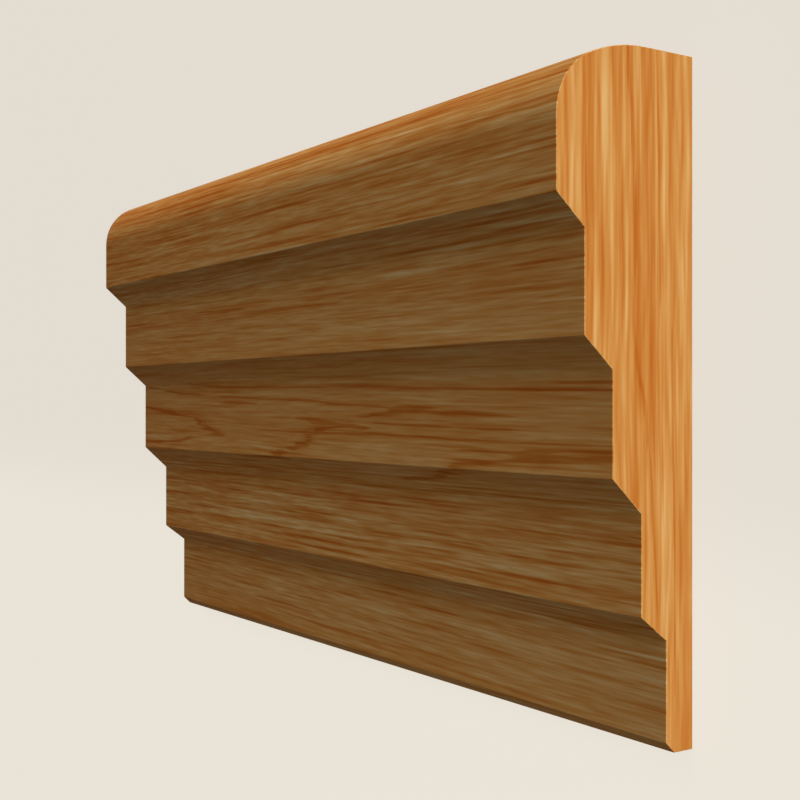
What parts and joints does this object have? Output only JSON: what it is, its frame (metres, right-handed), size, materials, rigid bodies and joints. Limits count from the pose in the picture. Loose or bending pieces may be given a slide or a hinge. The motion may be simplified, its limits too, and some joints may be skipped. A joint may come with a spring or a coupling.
{
  "type": "dado rail",
  "caption": "Short length of stepped oak dado rail: a flat-backed moulding with a rounded nose and chamfered steps down to a thin foot, fixed along a wall to protect and divide it.",
  "frame": {"origin": "middle of the flat back, which lies on the floor at Z = 0", "axes": "+X along the rail, +Y up the wall once it is fixed (nose at +Y, foot at -Y), +Z out from the wall"},
  "size_m": [0.117, 0.07, 0.018],
  "materials": {
    "oak": "planed honey oak with fine straight grain, matt clear finish"
  },
  "bodies": {
    "root": {"dado_rail": "oak"}
  },
  "joints": []
}
